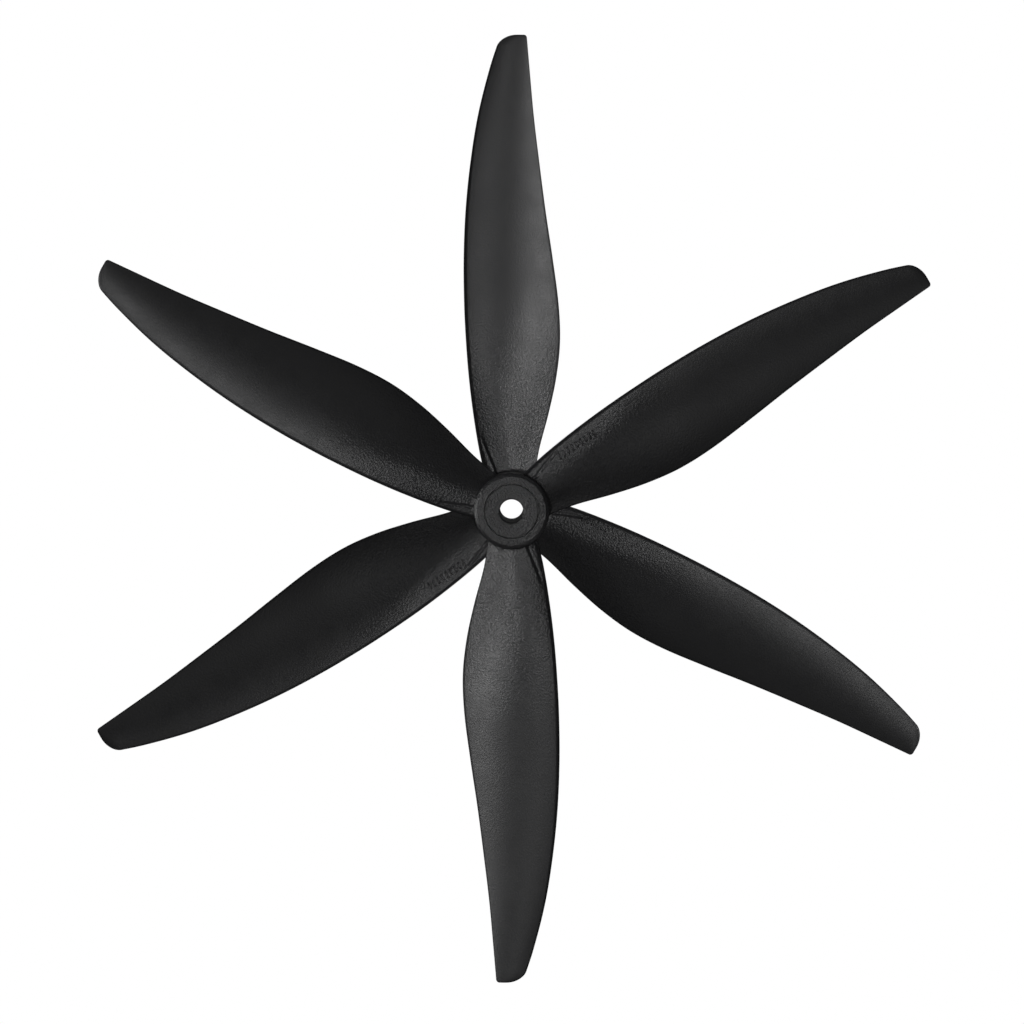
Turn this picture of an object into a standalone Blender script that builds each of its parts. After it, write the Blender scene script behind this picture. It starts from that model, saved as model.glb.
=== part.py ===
"""Two three-blade drone propellers stacked on one bore, the upper one turned sixty degrees.

Both propellers are the same one-piece moulding: a bored hub with three cambered, twisted blades.
Metres, +Z up. The origin is on the bore axis, at the lower hub's bottom face. Seen from above
the leading edges face anticlockwise, which is the way the propellers turn.
"""

import math

import bmesh
import bpy

MM = 0.001

# Driving dimensions.
TIP_RADIUS = 101.6 * MM
BLADES = 3
HUB_HEIGHT = 9.0 * MM
HUB_RADIUS = 8.05 * MM
BORE_RADIUS = 2.5 * MM
SEAT_RADIUS = 5.7 * MM
STACK_GAP = 0.3 * MM
UPPER_TURN = math.radians(60)
FIRST_BLADE = math.radians(90)

# Hub details.
TOP_CHAMFER = 0.7 * MM
BOTTOM_CHAMFER = 0.5 * MM
BORE_CHAMFER = 0.3 * MM
SEAT_DEPTH = 0.2 * MM
SEAT_WALL = 0.1 * MM
HUB_SIDES = 48

# Blade sections. All but the pitch and the camber are in hundredths of the tip radius:
# radius, trailing edge, leading edge, pitch in degrees, camber in hundredths of the chord,
# greatest thickness. Edges are measured square to the blade's axis, positive on the
# anticlockwise side.
STATIONS = (
    (5.0, -4.7, 5.2, 15.0, 13.0, 3.8),
    (12.0, -5.8, 6.8, 16.0, 13.0, 3.3),
    (20.0, -7.9, 8.1, 18.0, 12.5, 2.75),
    (27.5, -9.5, 9.0, 19.0, 11.5, 2.4),
    (35.0, -10.3, 9.6, 19.0, 9.5, 2.15),
    (43.0, -10.0, 10.0, 17.8, 8.8, 2.0),
    (53.0, -8.7, 10.1, 16.2, 7.5, 1.8),
    (63.0, -7.2, 9.7, 14.2, 7.3, 1.6),
    (73.0, -5.9, 8.7, 12.8, 7.0, 1.4),
    (83.0, -4.7, 7.1, 11.0, 7.2, 1.2),
    (93.0, -3.8, 4.6, 8.6, 7.0, 1.0),
    (100.0, -3.2, 2.3, 7.0, 6.0, 0.85),
)
BLADE_HEIGHT = 4.1 * MM
TRAILING_HALF = 0.25 * MM
CHORD_STEPS = 9
SPAN_STEPS = 15
TIP_STEPS = 5

# Tip: where the leading corner's arc starts, and the width of each corner.
TIP_START = 97.5
LEADING_CORNER = 3.3
TRAILING_CORNER = 0.6
TIP_THINNING = 0.5


def between(low, high, share):
    """The value that lies a share of the way from low to high."""
    return low + (high - low) * share


def slope(before, after, column):
    """The slope of one column between two stations."""
    return (after[column] - before[column]) / (after[0] - before[0])


def station(radius):
    """Read the section at a radius from a smooth cubic curve through the stations."""
    last = len(STATIONS) - 1
    k = 0
    while k < last - 1 and radius > STATIONS[k + 1][0]:
        k += 1
    low, high = STATIONS[k], STATIONS[k + 1]
    span = high[0] - low[0]
    u = (radius - low[0]) / span
    values = []
    for column in range(1, 6):
        leave = slope(STATIONS[max(k - 1, 0)], high, column)
        arrive = slope(low, STATIONS[min(k + 2, last)], column)
        values.append(
            (2 * u**3 - 3 * u**2 + 1) * low[column]
            + (u**3 - 2 * u**2 + u) * span * leave
            + (3 * u**2 - 2 * u**3) * high[column]
            + (u**3 - u**2) * span * arrive
        )
    return values


def tip_arc(radius, width):
    """How far a rounded corner of this width has drawn an edge in at a radius."""
    u = max(0.0, (radius - (100.0 - width)) / width)
    return 1 - math.sqrt(max(0.0, 1 - u * u))


def half_thickness(x, nose, greatest):
    """Half the thickness x of the way back: a half-round nose, then a fall to the trailing edge."""
    if x < nose:
        return greatest * math.sqrt(1 - (1 - x / nose) ** 2)
    return between(greatest, TRAILING_HALF, ((x - nose) / (1 - nose)) ** 1.5)


def section(radius):
    """The closed ring of points of the blade section at a radius, blade along +X."""
    trailing, leading, pitch, camber, thickness = station(radius)
    lead_arc = tip_arc(radius, 100.0 - TIP_START)
    leading -= LEADING_CORNER * lead_arc
    trailing += TRAILING_CORNER * tip_arc(radius, TRAILING_CORNER)
    thickness *= 1 - TIP_THINNING * lead_arc
    unit = TIP_RADIUS / 100
    rise = math.tan(math.radians(pitch))
    lean = math.cos(math.radians(pitch))
    chord = (leading - trailing) * unit / lean
    greatest = thickness * unit / 2
    upper, lower = [], []
    for step in range(CHORD_STEPS + 1):
        x = (1 - math.cos(math.pi * step / CHORD_STEPS)) / 2
        across = between(leading, trailing, x) * unit
        middle = BLADE_HEIGHT + across * rise + camber / 25 * x * (1 - x) * chord / lean
        half = half_thickness(x, greatest / chord, greatest) / lean
        upper.append((radius * unit, across, middle + half))
        lower.append((radius * unit, across, middle - half))
    return upper + lower[:0:-1]


def blade_radii():
    """Radii of the loft's sections: even along the blade, closing up round the tip."""
    root = STATIONS[0][0]
    radii = [between(root, TIP_START, i / SPAN_STEPS) for i in range(SPAN_STEPS)]
    for i in range(TIP_STEPS + 1):
        radii.append(between(TIP_START, 100.0, math.sin(math.pi / 2 * i / TIP_STEPS)))
    return radii


def blade_mesh():
    """Loft one blade along +X from inside the hub wall to the tip."""
    bm = bmesh.new()
    rings = [[bm.verts.new(point) for point in section(radius)] for radius in blade_radii()]
    count = len(rings[0])
    for inner, outer in zip(rings, rings[1:]):
        for i in range(count):
            j = (i + 1) % count
            bm.faces.new((inner[i], outer[i], outer[j], inner[j]))
    bm.faces.new(rings[0])
    bm.faces.new(rings[-1][::-1])
    bmesh.ops.recalc_face_normals(bm, faces=bm.faces)
    mesh = bpy.data.meshes.new("blade")
    bm.to_mesh(mesh)
    bm.free()
    return mesh


def hub_profile():
    """The hub's cross-section, from the top face's rim down the outer side and up the bore."""
    seat = HUB_HEIGHT - SEAT_DEPTH
    return (
        (HUB_RADIUS - TOP_CHAMFER, HUB_HEIGHT),
        (HUB_RADIUS, HUB_HEIGHT - TOP_CHAMFER),
        (HUB_RADIUS, BOTTOM_CHAMFER),
        (HUB_RADIUS - BOTTOM_CHAMFER, 0),
        (BORE_RADIUS + BORE_CHAMFER, 0),
        (BORE_RADIUS, BORE_CHAMFER),
        (BORE_RADIUS, seat - BORE_CHAMFER),
        (BORE_RADIUS + BORE_CHAMFER, seat),
        (SEAT_RADIUS - SEAT_WALL, seat),
        (SEAT_RADIUS, HUB_HEIGHT),
    )


def hub_mesh():
    """The hub's profile as a closed wire in the XZ plane, ready to be turned."""
    points = hub_profile()
    edges = [(i, (i + 1) % len(points)) for i in range(len(points))]
    mesh = bpy.data.meshes.new("hub")
    mesh.from_pydata([(r, 0, z) for r, z in points], edges, [])
    return mesh


def moulding_material(name):
    """Matt black glass-filled nylon."""
    material = bpy.data.materials.new(f"{name}_nylon")
    material.use_nodes = True
    shader = material.node_tree.nodes["Principled BSDF"]
    shader.inputs["Base Color"].default_value = (0.012, 0.012, 0.013, 1)
    shader.inputs["Roughness"].default_value = 0.5
    shader.inputs["Metallic"].default_value = 0.0
    return material


def add_turn(hub):
    """Turn the hub's profile round its axis."""
    screw = hub.modifiers.new("turn", "SCREW")
    screw.steps = HUB_SIDES
    screw.render_steps = HUB_SIDES
    screw.use_merge_vertices = True
    screw.merge_threshold = 0.00001


def add_blades(hub, mesh, guides):
    """Join the blades to the hub with Boolean unions."""
    for i in range(BLADES):
        blade = bpy.data.objects.new(f"{hub.name}_blade_{i + 1}", mesh)
        blade.parent = hub
        blade.rotation_euler.z = FIRST_BLADE + i * math.tau / BLADES
        blade.display_type = "WIRE"
        blade.hide_render = True
        guides.objects.link(blade)
        union = hub.modifiers.new(f"blade_{i + 1}", "BOOLEAN")
        union.operation = "UNION"
        union.solver = "EXACT"
        union.object = blade


def make_propeller(name, height, turn, hub, blade, parts, guides):
    """One moulding, its own origin on the bore axis at its hub's bottom face."""
    propeller = bpy.data.objects.new(name, hub)
    propeller.location.z = height
    propeller.rotation_euler.z = turn
    parts.objects.link(propeller)
    add_turn(propeller)
    add_blades(propeller, blade, guides)


def clear_scene():
    """Remove every object the new file holds."""
    for item in list(bpy.data.objects):
        bpy.data.objects.remove(item)


def new_collection(name):
    """A collection linked to the scene."""
    collection = bpy.data.collections.new(name)
    bpy.context.scene.collection.children.link(collection)
    return collection


def main():
    """Build both propellers."""
    clear_scene()
    parts = new_collection("stacked_propellers")
    guides = new_collection("guides")
    for name, height, turn in (
        ("lower_propeller", 0, 0),
        ("upper_propeller", HUB_HEIGHT + STACK_GAP, UPPER_TURN),
    ):
        material = moulding_material(name)
        hub = hub_mesh()
        blade = blade_mesh()
        hub.materials.append(material)
        blade.materials.append(material)
        make_propeller(name, height, turn, hub, blade, parts, guides)


main()
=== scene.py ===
"""Two three-blade propellers stacked on one bore: fine mouldings, black nylon and a studio.

Lengths are in metres unless a comment says otherwise.
"""

import math

import bmesh
import bpy
from mathutils import Matrix, Vector


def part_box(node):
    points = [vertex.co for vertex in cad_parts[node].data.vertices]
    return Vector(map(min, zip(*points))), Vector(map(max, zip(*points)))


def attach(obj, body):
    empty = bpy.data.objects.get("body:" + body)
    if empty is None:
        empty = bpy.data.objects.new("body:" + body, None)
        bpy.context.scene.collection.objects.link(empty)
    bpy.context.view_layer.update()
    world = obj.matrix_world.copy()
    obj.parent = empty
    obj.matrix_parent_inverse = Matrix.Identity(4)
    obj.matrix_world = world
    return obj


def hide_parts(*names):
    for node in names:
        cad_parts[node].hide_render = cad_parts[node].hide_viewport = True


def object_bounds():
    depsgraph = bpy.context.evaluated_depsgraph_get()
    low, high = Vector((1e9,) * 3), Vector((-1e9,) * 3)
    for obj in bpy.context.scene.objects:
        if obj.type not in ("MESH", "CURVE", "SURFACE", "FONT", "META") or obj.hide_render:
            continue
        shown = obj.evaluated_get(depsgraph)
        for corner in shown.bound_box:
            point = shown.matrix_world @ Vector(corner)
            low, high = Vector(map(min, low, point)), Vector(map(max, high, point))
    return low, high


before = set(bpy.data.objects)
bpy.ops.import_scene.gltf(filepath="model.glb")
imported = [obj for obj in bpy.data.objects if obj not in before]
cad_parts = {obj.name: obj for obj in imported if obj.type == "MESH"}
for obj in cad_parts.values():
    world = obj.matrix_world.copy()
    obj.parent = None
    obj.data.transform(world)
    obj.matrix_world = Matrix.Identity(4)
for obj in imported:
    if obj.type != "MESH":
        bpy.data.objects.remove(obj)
cad_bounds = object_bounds()

MM = 0.001
LOWER_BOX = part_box("lower_propeller")
UPPER_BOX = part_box("upper_propeller")

# The moulding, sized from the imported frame.
TIP_RADIUS = LOWER_BOX[1].y
HUB_HEIGHT = LOWER_BOX[1].z - LOWER_BOX[0].z
UPPER_BASE = UPPER_BOX[0].z
UNIT = TIP_RADIUS / 100
BLADES = 3
FIRST_BLADE = math.radians(90)
UPPER_TURN = math.radians(180)

# Hub: its top face's recessed seat with a ring groove round it, a rim that leans outward by an
# angle in degrees, and rounded edges.
HUB_RADIUS = 8.05 * MM
BORE_RADIUS = 2.5 * MM
SEAT_RADIUS = 5.75 * MM
SEAT_DEPTH = 0.12 * MM
RING_WIDTH = 0.34 * MM
RING_DEPTH = 0.3 * MM
RIM_LEAN = 31
RIM_LENGTH = 0.6 * MM
RIM_ROUND = 0.3 * MM
BOTTOM_ROUND = 0.5 * MM
BORE_ROUND = 0.3 * MM
HUB_SIDES = 144
HUB_WELD = 0.01 * MM
ROUND_STEPS = 8

# Blade sections. All but the pitch and the camber are in hundredths of the tip radius:
# radius, trailing edge, leading edge, pitch in degrees, camber in hundredths of the chord,
# greatest thickness.
STATIONS = (
    (5.0, -4.7, 5.2, 22.0, 8.0, 3.8),
    (12.0, -5.8, 6.8, 23.5, 8.0, 3.3),
    (20.0, -7.9, 8.1, 22.8, 8.5, 2.75),
    (27.5, -9.5, 9.0, 21.6, 8.8, 2.4),
    (35.0, -10.3, 9.6, 19.8, 8.8, 2.15),
    (43.0, -10.0, 10.0, 17.8, 8.8, 2.0),
    (53.0, -8.7, 10.1, 16.2, 7.5, 1.8),
    (63.0, -7.2, 9.7, 14.2, 7.3, 1.6),
    (73.0, -5.9, 8.7, 12.8, 7.0, 1.4),
    (83.0, -4.7, 7.1, 11.0, 7.2, 1.2),
    (93.0, -3.8, 4.6, 8.6, 7.0, 1.0),
    (100.0, -3.2, 2.3, 7.0, 6.0, 0.85),
)

# Height of the blade's axis above the hub's base, and the greatest depth of its rounded nose.
BLADE_HEIGHT = 4.1 * MM
NOSE_LIMIT = 0.9 * MM

# Half the trailing edge's thickness, the share of the chord over which it is rounded, and the
# power by which the thickness falls towards it.
TRAILING_HALF = 0.25 * MM
TRAILING_ROUND = 0.03
THICKNESS_POWER = 1.5

# Rounded tip, in hundredths of the tip radius, and the share of its thickness that it loses.
TIP_START = 97.5
LEADING_CORNER = 3.3
TRAILING_CORNER = 0.6
TIP_THINNING = 0.5

# Groove beside the hub, which sets a bead along the leading edge off from the top. It lies in
# from the edge by the first inset at its end, and by both together at its start. Its fall from
# the top and its rise to the bead are each a width and a height.
GROOVE_START = 8.5 * MM
GROOVE_END = 16.0 * MM
GROOVE_FADE = (GROOVE_END - 3.5 * MM, GROOVE_END + 1.5 * MM)
GROOVE_INSET = (0.85 * MM, 1.35 * MM)
GROOVE_POWER = 1.2
GROOVE_FALL = (0.8 * MM, 0.33 * MM)
GROOVE_RISE = (0.45 * MM, 0.18 * MM)

# The root's trailing edge turns up, from this share of the way back.
REFLEX_RISE = 0.9 * MM
REFLEX_FROM = 0.74
REFLEX_SPAN = (8.0 * MM, 34.0 * MM)

# Along the inner part of the blade runs a soft shoulder, and the section is turned down ahead
# of it: the shoulder's place and slant, half the width of its bend, the slope ahead of it, how
# far ahead of it the blade keeps its height, and the radii over which it all fades.
SHOULDER_AT = -1.6 * MM
SHOULDER_SLANT = 0.19
SHOULDER_HALF = 1.2 * MM
SHOULDER_SLOPE = 0.32
SHOULDER_LIFT = 1.0 * MM
SHOULDER_SPAN = (10.0 * MM, 40.0 * MM)

ROOT_FILLET = 0.45 * MM

# Rows of raised bars on two blades: blade, the row's middle along and across the blade, its
# slant, the number of bars and their length. BAR_CREST is half the crest's width, in bar widths,
# and BAR_DEPTH is how far a bar reaches into the blade.
MARKS = (
    (1, 19.1 * MM, 5.3 * MM, 0.07, 9, 1.6 * MM),
    (2, 17.2 * MM, 6.2 * MM, 0.1, 6, 1.5 * MM),
)
BAR_PITCH = 1.1 * MM
BAR_WIDTH = 0.5 * MM
BAR_CREST = 0.3
BAR_RISE = 0.24 * MM
BAR_DEPTH = 0.4 * MM
BAR_STEPS = 6

# Soft lights on the upper propeller: name, azimuth, angle from straight up, watts. The lower
# one has the same lights turned by 180 degrees.
LIGHTS = (
    ("side", 180, 61, 2.95),
    ("overhead", 163, 11, 1.5),
    ("left", 118, 36, 0.26),
    ("right", 242, 33, 0.24),
    ("fill_right", 300, 48, 0.34),
    ("fill_back", 60, 58, 0.12),
)
SOFTBOX_DISTANCE = 0.9
SOFTBOX_SIZE = 0.25

# Brightness of the even surround.
SURROUND = 0.05

# Camera: millimetres of lens and sensor, degrees off the bore, the width of the view and the
# point of the object's middle plane that it looks at.
LENS = 200
SENSOR = 36
CAMERA_TILT = 3
VIEW_WIDTH = 0.21965
AIM = (0.0001, -0.00064)

# Half the floor's side, and how far it lies below the object.
FLOOR_HALF = 3
FLOOR_DROP = 0.2 * MM

# Spark-eroded grain: cells a metre, depth, and the radii over which its strength and the
# surface's roughness change.
GRAIN_SCALE = 2300
GRAIN_DETAIL = 2.0
GRAIN_DEPTH = 0.17 * MM
GRAIN_SPAN = (21 * MM, 46 * MM)
GRAIN_STRENGTH = (1.0, 0.2)
ROUGHNESS = (0.3, 0.43)

# Mottling: cells a metre, the part of the noise's range that it uses, and what it multiplies
# the roughness by.
MOTTLE_SCALE = 250
MOTTLE_DETAIL = 3.0
MOTTLE_RANGE = (0.3, 0.7)
MOTTLE = (0.92, 1.08)
NOISE_ROUGHNESS = 0.6
DARK_TONE = (0.012, 0.012, 0.013, 1)
LIGHT_TONE = (0.017, 0.017, 0.018, 1)

# Blade mesh: steps round the section and along the blade. The groove's own steps reach this far
# behind its bottom and ahead of it, and they start and end no further back than the limits, as
# shares of the width.
TOP_STEPS = 44
BOTTOM_STEPS = 30
EDGE_STEPS = 12
GROOVE_STEPS = 20
GROOVE_REACH = (1.0 * MM, 0.6 * MM)
GROOVE_LIMITS = (0.1, 0.5)
SPAN_STEPS = 150
SPAN_CROWDING = 1.3
TIP_STEPS = 14
BLADE_WELD = 0.0005 * MM
SHARP_ANGLE = 35


def between(low, high, share):
    """The value that lies a share of the way from low to high."""
    return low + (high - low) * share


def slope(before, after, column):
    """The slope of one column between two stations."""
    return (after[column] - before[column]) / (after[0] - before[0])


def station(radius):
    """Read the section at a radius from a smooth cubic curve through the stations."""
    last = len(STATIONS) - 1
    k = 0
    while k < last - 1 and radius > STATIONS[k + 1][0]:
        k += 1
    low, high = STATIONS[k], STATIONS[k + 1]
    span = high[0] - low[0]
    u = (radius - low[0]) / span
    values = []
    for column in range(1, 6):
        leave = slope(STATIONS[max(k - 1, 0)], high, column)
        arrive = slope(low, STATIONS[min(k + 2, last)], column)
        values.append(
            (2 * u**3 - 3 * u**2 + 1) * low[column]
            + (u**3 - 2 * u**2 + u) * span * leave
            + (3 * u**2 - 2 * u**3) * high[column]
            + (u**3 - u**2) * span * arrive
        )
    return values


def tip_arc(radius, width):
    """How far a rounded corner of this width has drawn an edge in at a radius."""
    u = max(0.0, (radius - (100.0 - width)) / width)
    return 1 - math.sqrt(max(0.0, 1 - u * u))


def fade(value, start, end):
    """One before the start, nothing past the end, smooth between."""
    u = min(max((value - start) / (end - start), 0.0), 1.0)
    return 1 - u * u * (3 - 2 * u)


def half_thickness(x, nose, greatest):
    """Half the thickness x of the way back: a half-round nose, then a fall to the trailing edge."""
    if x < nose:
        return greatest * math.sqrt(1 - (1 - x / nose) ** 2)
    half = between(greatest, TRAILING_HALF, ((x - nose) / (1 - nose)) ** THICKNESS_POWER)
    edge = max(0.0, (x - 1 + TRAILING_ROUND) / TRAILING_ROUND)
    return half - TRAILING_HALF * (1 - math.sqrt(max(0.0, 1 - edge * edge)))


def fillet_lift(along, across):
    """How far the root fillet lifts a surface near the hub's wall."""
    distance = math.hypot(along, across) - HUB_RADIUS
    reach = min(max(ROOT_FILLET - distance, 0.0), ROOT_FILLET)
    return ROOT_FILLET - math.sqrt(ROOT_FILLET**2 - reach**2)


def groove_inset(along):
    """How far the groove's bottom lies in from the leading edge."""
    share = min(max((GROOVE_END - along) / (GROOVE_END - GROOVE_START), 0.0), 1.0)
    return GROOVE_INSET[0] + GROOVE_INSET[1] * share**GROOVE_POWER


def groove(along, inset):
    """Height of the groove and the bead beside it, at a distance in from the leading edge."""
    across = groove_inset(along) - inset
    fall = GROOVE_FALL[1] * (fade(across, -GROOVE_FALL[0], 0) - 1)
    rise = GROOVE_RISE[1] * (1 - fade(across, 0, GROOVE_RISE[0]))
    return (fall + rise) * fade(along, *GROOVE_FADE)


def shoulder(along, across):
    """How far the section's leading side is turned down past the shoulder."""
    ahead = across - SHOULDER_AT - along * SHOULDER_SLANT
    reach = min(max(ahead + SHOULDER_HALF, 0.0), 2 * SHOULDER_HALF)
    fall = reach * reach / (4 * SHOULDER_HALF) + max(0.0, ahead - SHOULDER_HALF)
    return SHOULDER_SLOPE * (fall - SHOULDER_LIFT) * fade(along, *SHOULDER_SPAN)


def reflex(along, x):
    """How far the root's trailing edge is turned up."""
    share = max(0.0, (x - REFLEX_FROM) / (1 - REFLEX_FROM))
    return REFLEX_RISE * fade(along, *REFLEX_SPAN) * share * share


def section(radius):
    """The edges, pitch, camber and greatest half thickness of the section at a radius."""
    trailing, leading, pitch, camber, thickness = station(radius)
    lead_arc = tip_arc(radius, 100.0 - TIP_START)
    leading -= LEADING_CORNER * lead_arc
    trailing += TRAILING_CORNER * tip_arc(radius, TRAILING_CORNER)
    thickness *= 1 - TIP_THINNING * lead_arc
    return trailing * UNIT, leading * UNIT, math.radians(pitch), camber / 100, thickness * UNIT / 2


def surface_point(along, x, side, shape):
    """A point of the blade's top, side 1, or underside, -1, x of the way back from its nose."""
    trailing, leading, pitch, camber, greatest = shape
    lean = math.cos(pitch)
    chord = (leading - trailing) / lean
    across = between(leading, trailing, x)
    height = BLADE_HEIGHT + across * math.tan(pitch) + 4 * camber * x * (1 - x) * chord
    height += side * half_thickness(x, min(greatest, NOSE_LIMIT) / chord, greatest) / lean
    height += side * fillet_lift(along, across) + reflex(along, x) - shoulder(along, across)
    if side > 0:
        height += groove(along, leading - across)
    return (along, across, height)


def top_shares(along, width):
    """How far back the top's points lie: closest round the nose and across the groove."""
    inset = groove_inset(along)
    near = min((inset - GROOVE_REACH[1]) / width, GROOVE_LIMITS[0])
    far = min((inset + GROOVE_REACH[0]) / width, GROOVE_LIMITS[1])
    turns = [math.pi / 2 * i / EDGE_STEPS for i in range(EDGE_STEPS)]
    shares = [near * (1 - math.cos(turn)) for turn in turns]
    shares += [between(near, far, i / GROOVE_STEPS) for i in range(GROOVE_STEPS)]
    turns = [math.pi / 2 * i / TOP_STEPS for i in range(TOP_STEPS + 1)]
    return shares + [between(far, 1, math.sin(turn)) for turn in turns]


def blade_ring(radius):
    """The closed ring of points round the blade at a radius."""
    shape = section(radius)
    along = radius * UNIT
    ring = [surface_point(along, x, 1, shape) for x in top_shares(along, shape[1] - shape[0])]
    for step in range(BOTTOM_STEPS - 1, 0, -1):
        x = (1 - math.cos(math.pi * step / BOTTOM_STEPS)) / 2
        ring.append(surface_point(along, x, -1, shape))
    return ring


def blade_radii():
    """Radii of the loft's sections: closer near the hub, closing up round the tip."""
    root = STATIONS[0][0]
    radii = []
    for i in range(SPAN_STEPS):
        radii.append(between(root, TIP_START, (i / SPAN_STEPS) ** SPAN_CROWDING))
    for i in range(TIP_STEPS + 1):
        radii.append(between(TIP_START, 100.0, math.sin(math.pi / 2 * i / TIP_STEPS)))
    return radii


def blade_mesh():
    """Loft one fine blade along +X from inside the hub wall to the tip."""
    bm = bmesh.new()
    rings = [[bm.verts.new(point) for point in blade_ring(radius)] for radius in blade_radii()]
    count = len(rings[0])
    for inner, outer in zip(rings, rings[1:]):
        for i in range(count):
            j = (i + 1) % count
            bm.faces.new((inner[i], outer[i], outer[j], inner[j]))
    bm.faces.new(rings[0])
    bm.faces.new(rings[-1][::-1])
    bmesh.ops.remove_doubles(bm, verts=bm.verts, dist=BLADE_WELD)
    bmesh.ops.recalc_face_normals(bm, faces=bm.faces)
    mesh = bpy.data.meshes.new("blade")
    bm.to_mesh(mesh)
    bm.free()
    return mesh


def top_height(along, across):
    """Height of the blade's top."""
    shape = section(along / UNIT)
    x = (shape[1] - across) / (shape[1] - shape[0])
    return surface_point(along, x, 1, shape)[2]


def bar_ring(along, across, share):
    """One section of a raised bar, lower towards the bar's ends."""
    rise = BAR_RISE * math.sqrt(max(0.0, 1 - share**4))
    offsets = (
        (-0.5, -BAR_DEPTH),
        (-0.5, 0.0),
        (-BAR_CREST, rise),
        (BAR_CREST, rise),
        (0.5, 0.0),
        (0.5, -BAR_DEPTH),
    )
    height = top_height(along, across)
    return [(along + side * BAR_WIDTH, across, height + lift) for side, lift in offsets]


def marks_mesh(middle, across, slant, count, length):
    """A row of raised bars that follows the blade's top."""
    bm = bmesh.new()
    for i in range(count):
        offset = (i - (count - 1) / 2) * BAR_PITCH
        centre = across + offset * slant
        rings = []
        for step in range(BAR_STEPS + 1):
            share = 2 * step / BAR_STEPS - 1
            points = bar_ring(middle + offset, centre + share * length / 2, share)
            rings.append([bm.verts.new(point) for point in points])
        for low, high in zip(rings, rings[1:]):
            for k in range(len(low)):
                after = (k + 1) % len(low)
                bm.faces.new((low[k], low[after], high[after], high[k]))
        bm.faces.new(rings[0])
        bm.faces.new(rings[-1][::-1])
    bmesh.ops.recalc_face_normals(bm, faces=bm.faces)
    mesh = bpy.data.meshes.new("marks")
    bm.to_mesh(mesh)
    bm.free()
    return mesh


def arc(centre, radius, start, end, steps):
    """Points of an arc in the hub's profile plane, angles in degrees."""
    points = []
    for i in range(steps + 1):
        angle = math.radians(between(start, end, i / steps))
        points.append((centre[0] + radius * math.cos(angle), centre[1] + radius * math.sin(angle)))
    return points


def hub_profile():
    """The hub's cross-section, from the top face's rim down the outer side and up the bore."""
    seat = HUB_HEIGHT - SEAT_DEPTH
    ring = seat - RING_DEPTH
    lean = math.radians(RIM_LEAN)
    run, fall = RIM_LENGTH * math.cos(lean), RIM_LENGTH * math.sin(lean)
    outer_rim = (HUB_RADIUS - RIM_ROUND, HUB_HEIGHT - RIM_ROUND - fall)
    inner_rim = (outer_rim[0] - run, HUB_HEIGHT - RIM_ROUND)
    bottom_rim = (HUB_RADIUS - BOTTOM_ROUND, BOTTOM_ROUND)
    bottom_bore = (BORE_RADIUS + BORE_ROUND, BORE_ROUND)
    top_bore = (BORE_RADIUS + BORE_ROUND, seat - BORE_ROUND)
    points = [(SEAT_RADIUS + RING_WIDTH / 2, HUB_HEIGHT)]
    points += arc(inner_rim, RIM_ROUND, 90, 90 - RIM_LEAN, ROUND_STEPS // 2)
    points += arc(outer_rim, RIM_ROUND, 90 - RIM_LEAN, 0, ROUND_STEPS)
    points += arc(bottom_rim, BOTTOM_ROUND, 0, -90, ROUND_STEPS)
    points += arc(bottom_bore, BORE_ROUND, 270, 180, ROUND_STEPS)
    points += arc(top_bore, BORE_ROUND, 180, 90, ROUND_STEPS)
    points += [
        (SEAT_RADIUS - RING_WIDTH / 2, seat),
        (SEAT_RADIUS - RING_WIDTH / 6, ring),
        (SEAT_RADIUS + RING_WIDTH / 6, ring),
    ]
    return points


def hub_object():
    """The hub turned from its profile."""
    points = hub_profile()
    edges = [(i, (i + 1) % len(points)) for i in range(len(points))]
    mesh = bpy.data.meshes.new("hub")
    mesh.from_pydata([(r, 0, z) for r, z in points], edges, [])
    hub = bpy.data.objects.new("hub", mesh)
    bpy.context.scene.collection.objects.link(hub)
    screw = hub.modifiers.new("turn", "SCREW")
    screw.steps = HUB_SIDES
    screw.render_steps = HUB_SIDES
    screw.use_merge_vertices = True
    screw.merge_threshold = HUB_WELD
    return hub


def add_union(hub, name, mesh, blade):
    """Join a mesh to the hub at one blade's place."""
    extra = bpy.data.objects.new(name, mesh)
    extra.rotation_euler.z = FIRST_BLADE + blade * math.tau / BLADES
    bpy.context.scene.collection.objects.link(extra)
    union = hub.modifiers.new(name, "BOOLEAN")
    union.operation = "UNION"
    union.solver = "EXACT"
    union.object = extra
    return extra


def moulding_mesh():
    """One whole moulding as a single closed mesh, blades and raised bars joined to the hub."""
    hub = hub_object()
    mesh = blade_mesh()
    extras = [add_union(hub, f"blade_{i}", mesh, i) for i in range(BLADES)]
    extras += [add_union(hub, f"marks_{row[0]}", marks_mesh(*row[1:]), row[0]) for row in MARKS]
    bpy.context.view_layer.update()
    evaluated = hub.evaluated_get(bpy.context.evaluated_depsgraph_get())
    whole = bpy.data.meshes.new_from_object(evaluated)
    for item in (hub, *extras):
        bpy.data.objects.remove(item)
    whole.shade_smooth()
    whole.set_sharp_from_angle(angle=math.radians(SHARP_ANGLE))
    return whole


def noise(nodes, links, place, scale, detail):
    """A noise texture in object space."""
    texture = nodes.new("ShaderNodeTexNoise")
    texture.inputs["Scale"].default_value = scale
    texture.inputs["Detail"].default_value = detail
    texture.inputs["Roughness"].default_value = NOISE_ROUGHNESS
    links.new(place.outputs["Object"], texture.inputs["Vector"])
    return texture.outputs["Fac"]


def spread(nodes, links, source, before, after):
    """Map a value from one range onto another."""
    node = nodes.new("ShaderNodeMapRange")
    sockets = ("From Min", "From Max", "To Min", "To Max")
    for socket, value in zip(sockets, (*before, *after)):
        node.inputs[socket].default_value = value
    links.new(source, node.inputs["Value"])
    return node.outputs["Result"]


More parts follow.
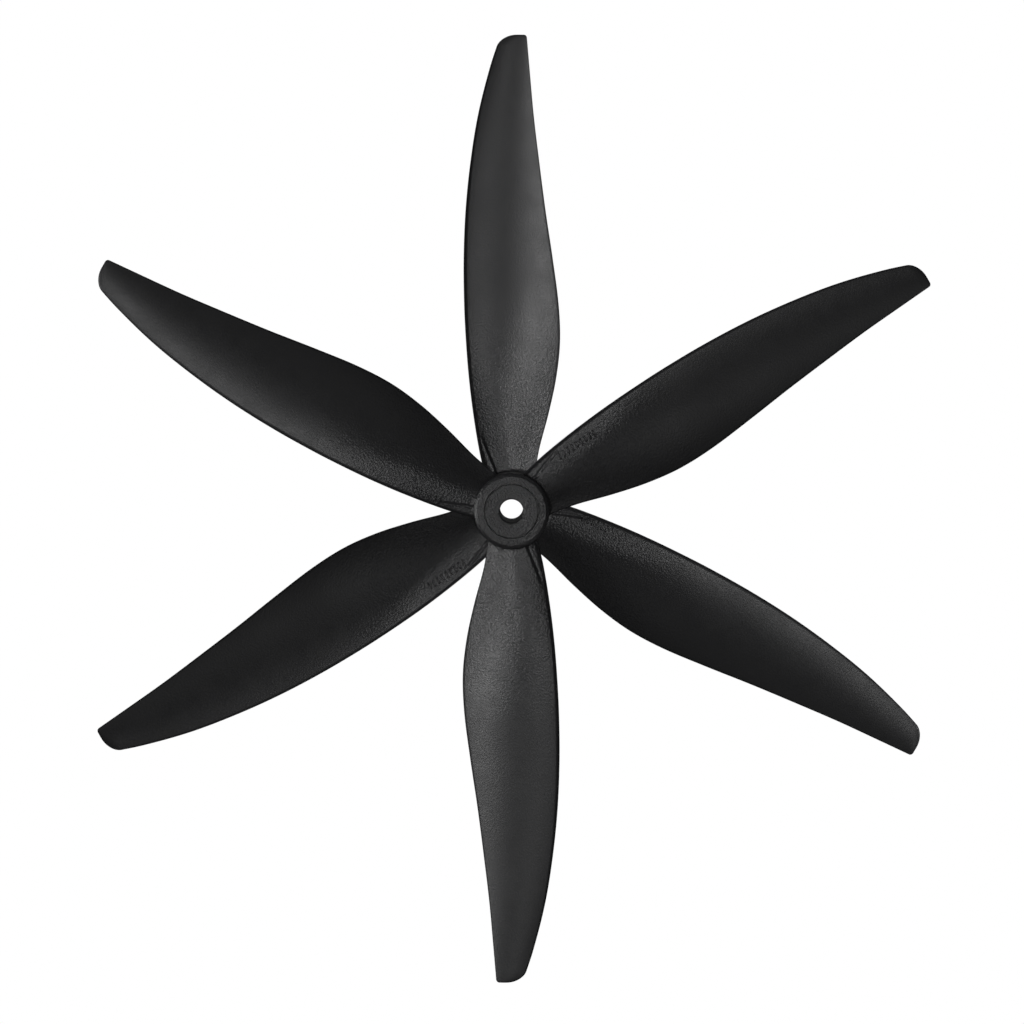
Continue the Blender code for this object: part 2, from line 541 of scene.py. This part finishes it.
def nylon():
    """Black glass-filled nylon: spark-eroded grain, deeper at the root, and faint mottling."""
    material = bpy.data.materials.new("black_nylon")
    material.use_nodes = True
    nodes, links = material.node_tree.nodes, material.node_tree.links
    shader = nodes["Principled BSDF"]
    place = nodes.new("ShaderNodeTexCoord")
    flat = nodes.new("ShaderNodeVectorMath")
    flat.operation = "MULTIPLY"
    flat.inputs[1].default_value = (1, 1, 0)
    links.new(place.outputs["Object"], flat.inputs[0])
    radius = nodes.new("ShaderNodeVectorMath")
    radius.operation = "LENGTH"
    links.new(flat.outputs["Vector"], radius.inputs[0])
    bump = nodes.new("ShaderNodeBump")
    bump.inputs["Distance"].default_value = GRAIN_DEPTH
    strength = spread(nodes, links, radius.outputs["Value"], GRAIN_SPAN, GRAIN_STRENGTH)
    links.new(strength, bump.inputs["Strength"])
    links.new(noise(nodes, links, place, GRAIN_SCALE, GRAIN_DETAIL), bump.inputs["Height"])
    links.new(bump.outputs["Normal"], shader.inputs["Normal"])
    mottle = noise(nodes, links, place, MOTTLE_SCALE, MOTTLE_DETAIL)
    rough = nodes.new("ShaderNodeMath")
    rough.operation = "MULTIPLY"
    polish = spread(nodes, links, radius.outputs["Value"], GRAIN_SPAN, ROUGHNESS)
    links.new(polish, rough.inputs[0])
    links.new(spread(nodes, links, mottle, MOTTLE_RANGE, MOTTLE), rough.inputs[1])
    links.new(rough.outputs["Value"], shader.inputs["Roughness"])
    tone = nodes.new("ShaderNodeMix")
    tone.data_type = "RGBA"
    tone.inputs["A"].default_value = DARK_TONE
    tone.inputs["B"].default_value = LIGHT_TONE
    links.new(mottle, tone.inputs["Factor"])
    links.new(tone.outputs["Result"], shader.inputs["Base Color"])
    return material


def add_moulding(name, mesh, base, turn, body, material):
    """Place one moulding, in the row frame, and let it stand for its CAD node."""
    data = mesh.copy()
    data.transform(Matrix.Translation((0, 0, base)) @ Matrix.Rotation(turn, 4, "Z"))
    data.materials.clear()
    data.materials.append(material)
    piece = bpy.data.objects.new(name, data)
    bpy.context.scene.collection.objects.link(piece)
    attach(piece, body)
    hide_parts(body + "_propeller")
    return piece


def add_camera():
    """A long lens nearly straight down the bore, image up along +Y."""
    data = bpy.data.cameras.new("camera")
    data.lens = LENS
    data.sensor_width = SENSOR
    camera = bpy.data.objects.new("camera", data)
    bpy.context.scene.collection.objects.link(camera)
    middle = (cad_bounds[0].z + cad_bounds[1].z) / 2
    tilt = math.radians(CAMERA_TILT)
    distance = VIEW_WIDTH * data.lens / data.sensor_width
    aim = Vector((*AIM, middle))
    camera.location = aim + distance * Vector((0, math.sin(tilt), math.cos(tilt)))
    camera.rotation_euler = (-tilt, 0, 0)
    bpy.context.scene.camera = camera


def add_softbox(name, azimuth, zenith, power, receiver):
    """A square soft light aimed at the hub, for one propeller, which alone can shade it."""
    data = bpy.data.lights.new(name, "AREA")
    data.shape = "SQUARE"
    data.size = SOFTBOX_SIZE
    data.energy = power
    light = bpy.data.objects.new(name, data)
    bpy.context.scene.collection.objects.link(light)
    a, z = math.radians(azimuth), math.radians(zenith)
    away = Vector((math.sin(z) * math.cos(a), math.sin(z) * math.sin(a), math.cos(z)))
    light.location = away * SOFTBOX_DISTANCE
    light.rotation_euler = (-away).to_track_quat("-Z", "Y").to_euler()
    light.visible_camera = False
    lit = bpy.data.collections.new(name + "_receiver")
    lit.objects.link(receiver)
    light.light_linking.receiver_collection = lit
    light.light_linking.blocker_collection = lit


def add_world():
    """White to the camera, and a dim even surround for everything else."""
    world = bpy.data.worlds.new("studio")
    bpy.context.scene.world = world
    world.use_nodes = True
    nodes, links = world.node_tree.nodes, world.node_tree.links
    nodes.clear()
    out = nodes.new("ShaderNodeOutputWorld")
    mix = nodes.new("ShaderNodeMixShader")
    path = nodes.new("ShaderNodeLightPath")
    surround = nodes.new("ShaderNodeBackground")
    surround.inputs["Color"].default_value = (SURROUND, SURROUND, SURROUND, 1)
    backdrop = nodes.new("ShaderNodeBackground")
    backdrop.inputs["Color"].default_value = (1, 1, 1, 1)
    links.new(path.outputs["Is Camera Ray"], mix.inputs[0])
    links.new(surround.outputs[0], mix.inputs[1])
    links.new(backdrop.outputs[0], mix.inputs[2])
    links.new(mix.outputs[0], out.inputs["Surface"])


def add_floor():
    """A plain white floor that glows evenly and casts no light on the object."""
    bm = bmesh.new()
    bmesh.ops.create_grid(bm, x_segments=1, y_segments=1, size=FLOOR_HALF)
    mesh = bpy.data.meshes.new("floor")
    bm.to_mesh(mesh)
    bm.free()
    floor = bpy.data.objects.new("floor", mesh)
    floor.location.z = -FLOOR_DROP
    bpy.context.scene.collection.objects.link(floor)
    material = bpy.data.materials.new("white_floor")
    material.use_nodes = True
    nodes, links = material.node_tree.nodes, material.node_tree.links
    nodes.clear()
    glow = nodes.new("ShaderNodeEmission")
    glow.inputs["Color"].default_value = (1, 1, 1, 1)
    out = nodes.new("ShaderNodeOutputMaterial")
    links.new(glow.outputs[0], out.inputs["Surface"])
    mesh.materials.append(material)
    floor.visible_diffuse = False
    floor.visible_glossy = False


material = nylon()
moulding = moulding_mesh()
lower = add_moulding("lower_moulding", moulding, LOWER_BOX[0].z, 0, "lower", material)
upper = add_moulding("upper_moulding", moulding, UPPER_BASE, UPPER_TURN, "upper", material)
bpy.context.scene.view_settings.view_transform = "Standard"
add_camera()
add_world()
add_floor()
for piece, turn in ((upper, 0), (lower, 180)):
    for name, azimuth, zenith, power in LIGHTS:
        add_softbox(f"{name}_{turn}", azimuth + turn, zenith, power, piece)
